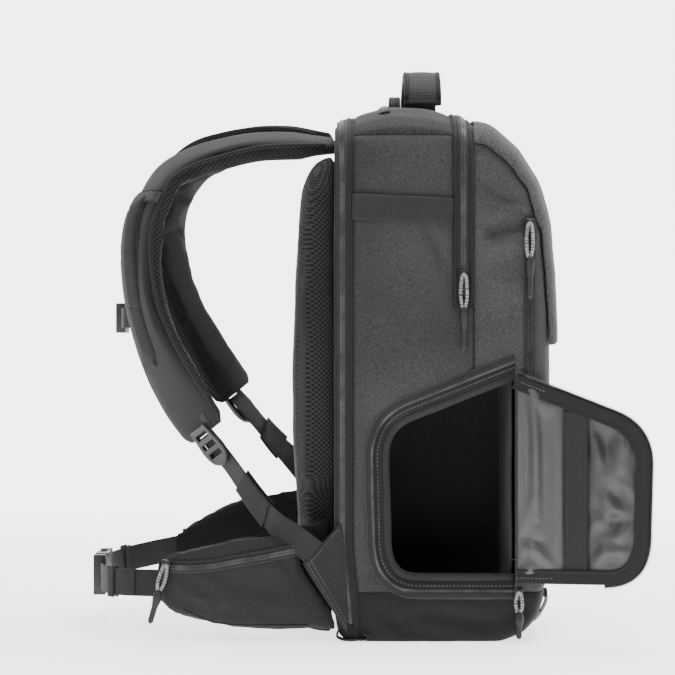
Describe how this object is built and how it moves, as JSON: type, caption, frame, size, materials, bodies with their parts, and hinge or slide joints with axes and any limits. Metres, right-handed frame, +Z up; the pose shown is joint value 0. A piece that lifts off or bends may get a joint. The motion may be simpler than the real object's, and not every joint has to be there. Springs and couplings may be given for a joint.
{
  "type": "camera backpack",
  "caption": "Soft-sided camera backpack with a zipped side port standing open, a padded hip belt with pockets, a sternum strap and contoured shoulder straps.",
  "frame": {"origin": "the middle of the flat underside, on the bag's mid-plane, where the bag stands on the floor", "axes": "+Z up, +X towards the front of the bag, away from the wearer, and -Y towards its left side, where the port is"},
  "size_m": [0.5409, 0.3431, 0.5585],
  "materials": {
    "shell_fabric": "plain woven nylon, matt charcoal",
    "heather_fabric": "heather melange weave, mid grey",
    "boot_fabric": "fine ripstop weave, near black",
    "lining": "satin lining, dark grey",
    "spacer_mesh": "air mesh over foam, near black",
    "strap_fabric": "plain woven nylon over foam, charcoal",
    "webbing": "ribbed webbing, near black",
    "zip": "coil zip on a woven tape, dark grey",
    "plastic": "moulded acetal, matt dark grey",
    "cord": "silver reflective cord with a dark rubber tip"
  },
  "bodies": {
    "root": {"side_panel_left": "shell_fabric", "side_panel_right": "shell_fabric", "front_shell": "shell_fabric", "top_yoke": "heather_fabric", "front_gusset": "shell_fabric", "back_frame": "shell_fabric", "base_boot": "boot_fabric", "back_zip_tape": "zip", "front_zip_tape": "zip", "top_zip_tape": "zip", "front_flap": "heather_fabric", "side_webbing_left": "webbing", "side_webbing_right": "webbing", "pocket_zip_left": "zip", "pocket_zip_right": "zip", "port_zip_tape": "zip", "cell_rim": "lining", "camera_cell": "lining", "port_door": "lining", "door_webbing": "webbing", "door_zip_tape": "zip", "back_pad": "spacer_mesh", "top_handle": "webbing", "hang_loop": "webbing", "base_tab": "webbing", "gear_loop": "webbing", "belt_buckle": "plastic", "sternum_buckle": "plastic", "port_zip_pull": "cord", "strap_pad_left": "strap_fabric", "strap_sleeve_left": "strap_fabric", "ladder_lock_left": "plastic", "strap_webbing_left": "webbing", "webbing_keeper_left": "webbing", "hip_fin_left": "spacer_mesh", "hip_pocket_left": "strap_fabric", "hip_zip_tape_left": "zip", "hip_wing_left": "strap_fabric", "hip_webbing_left": "webbing", "belt_keeper_left": "webbing", "sternum_webbing_left": "webbing", "front_zip_pull_left": "cord", "pocket_zip_pull_left": "cord", "hip_zip_pull_left": "cord", "strap_pad_right": "strap_fabric", "strap_sleeve_right": "strap_fabric", "ladder_lock_right": "plastic", "strap_webbing_right": "webbing", "webbing_keeper_right": "webbing", "hip_fin_right": "spacer_mesh", "hip_pocket_right": "strap_fabric", "hip_zip_tape_right": "zip", "hip_wing_right": "strap_fabric", "hip_webbing_right": "webbing", "belt_keeper_right": "webbing", "sternum_webbing_right": "webbing", "front_zip_pull_right": "cord", "pocket_zip_pull_right": "cord", "hip_zip_pull_right": "cord"}
  },
  "joints": []
}
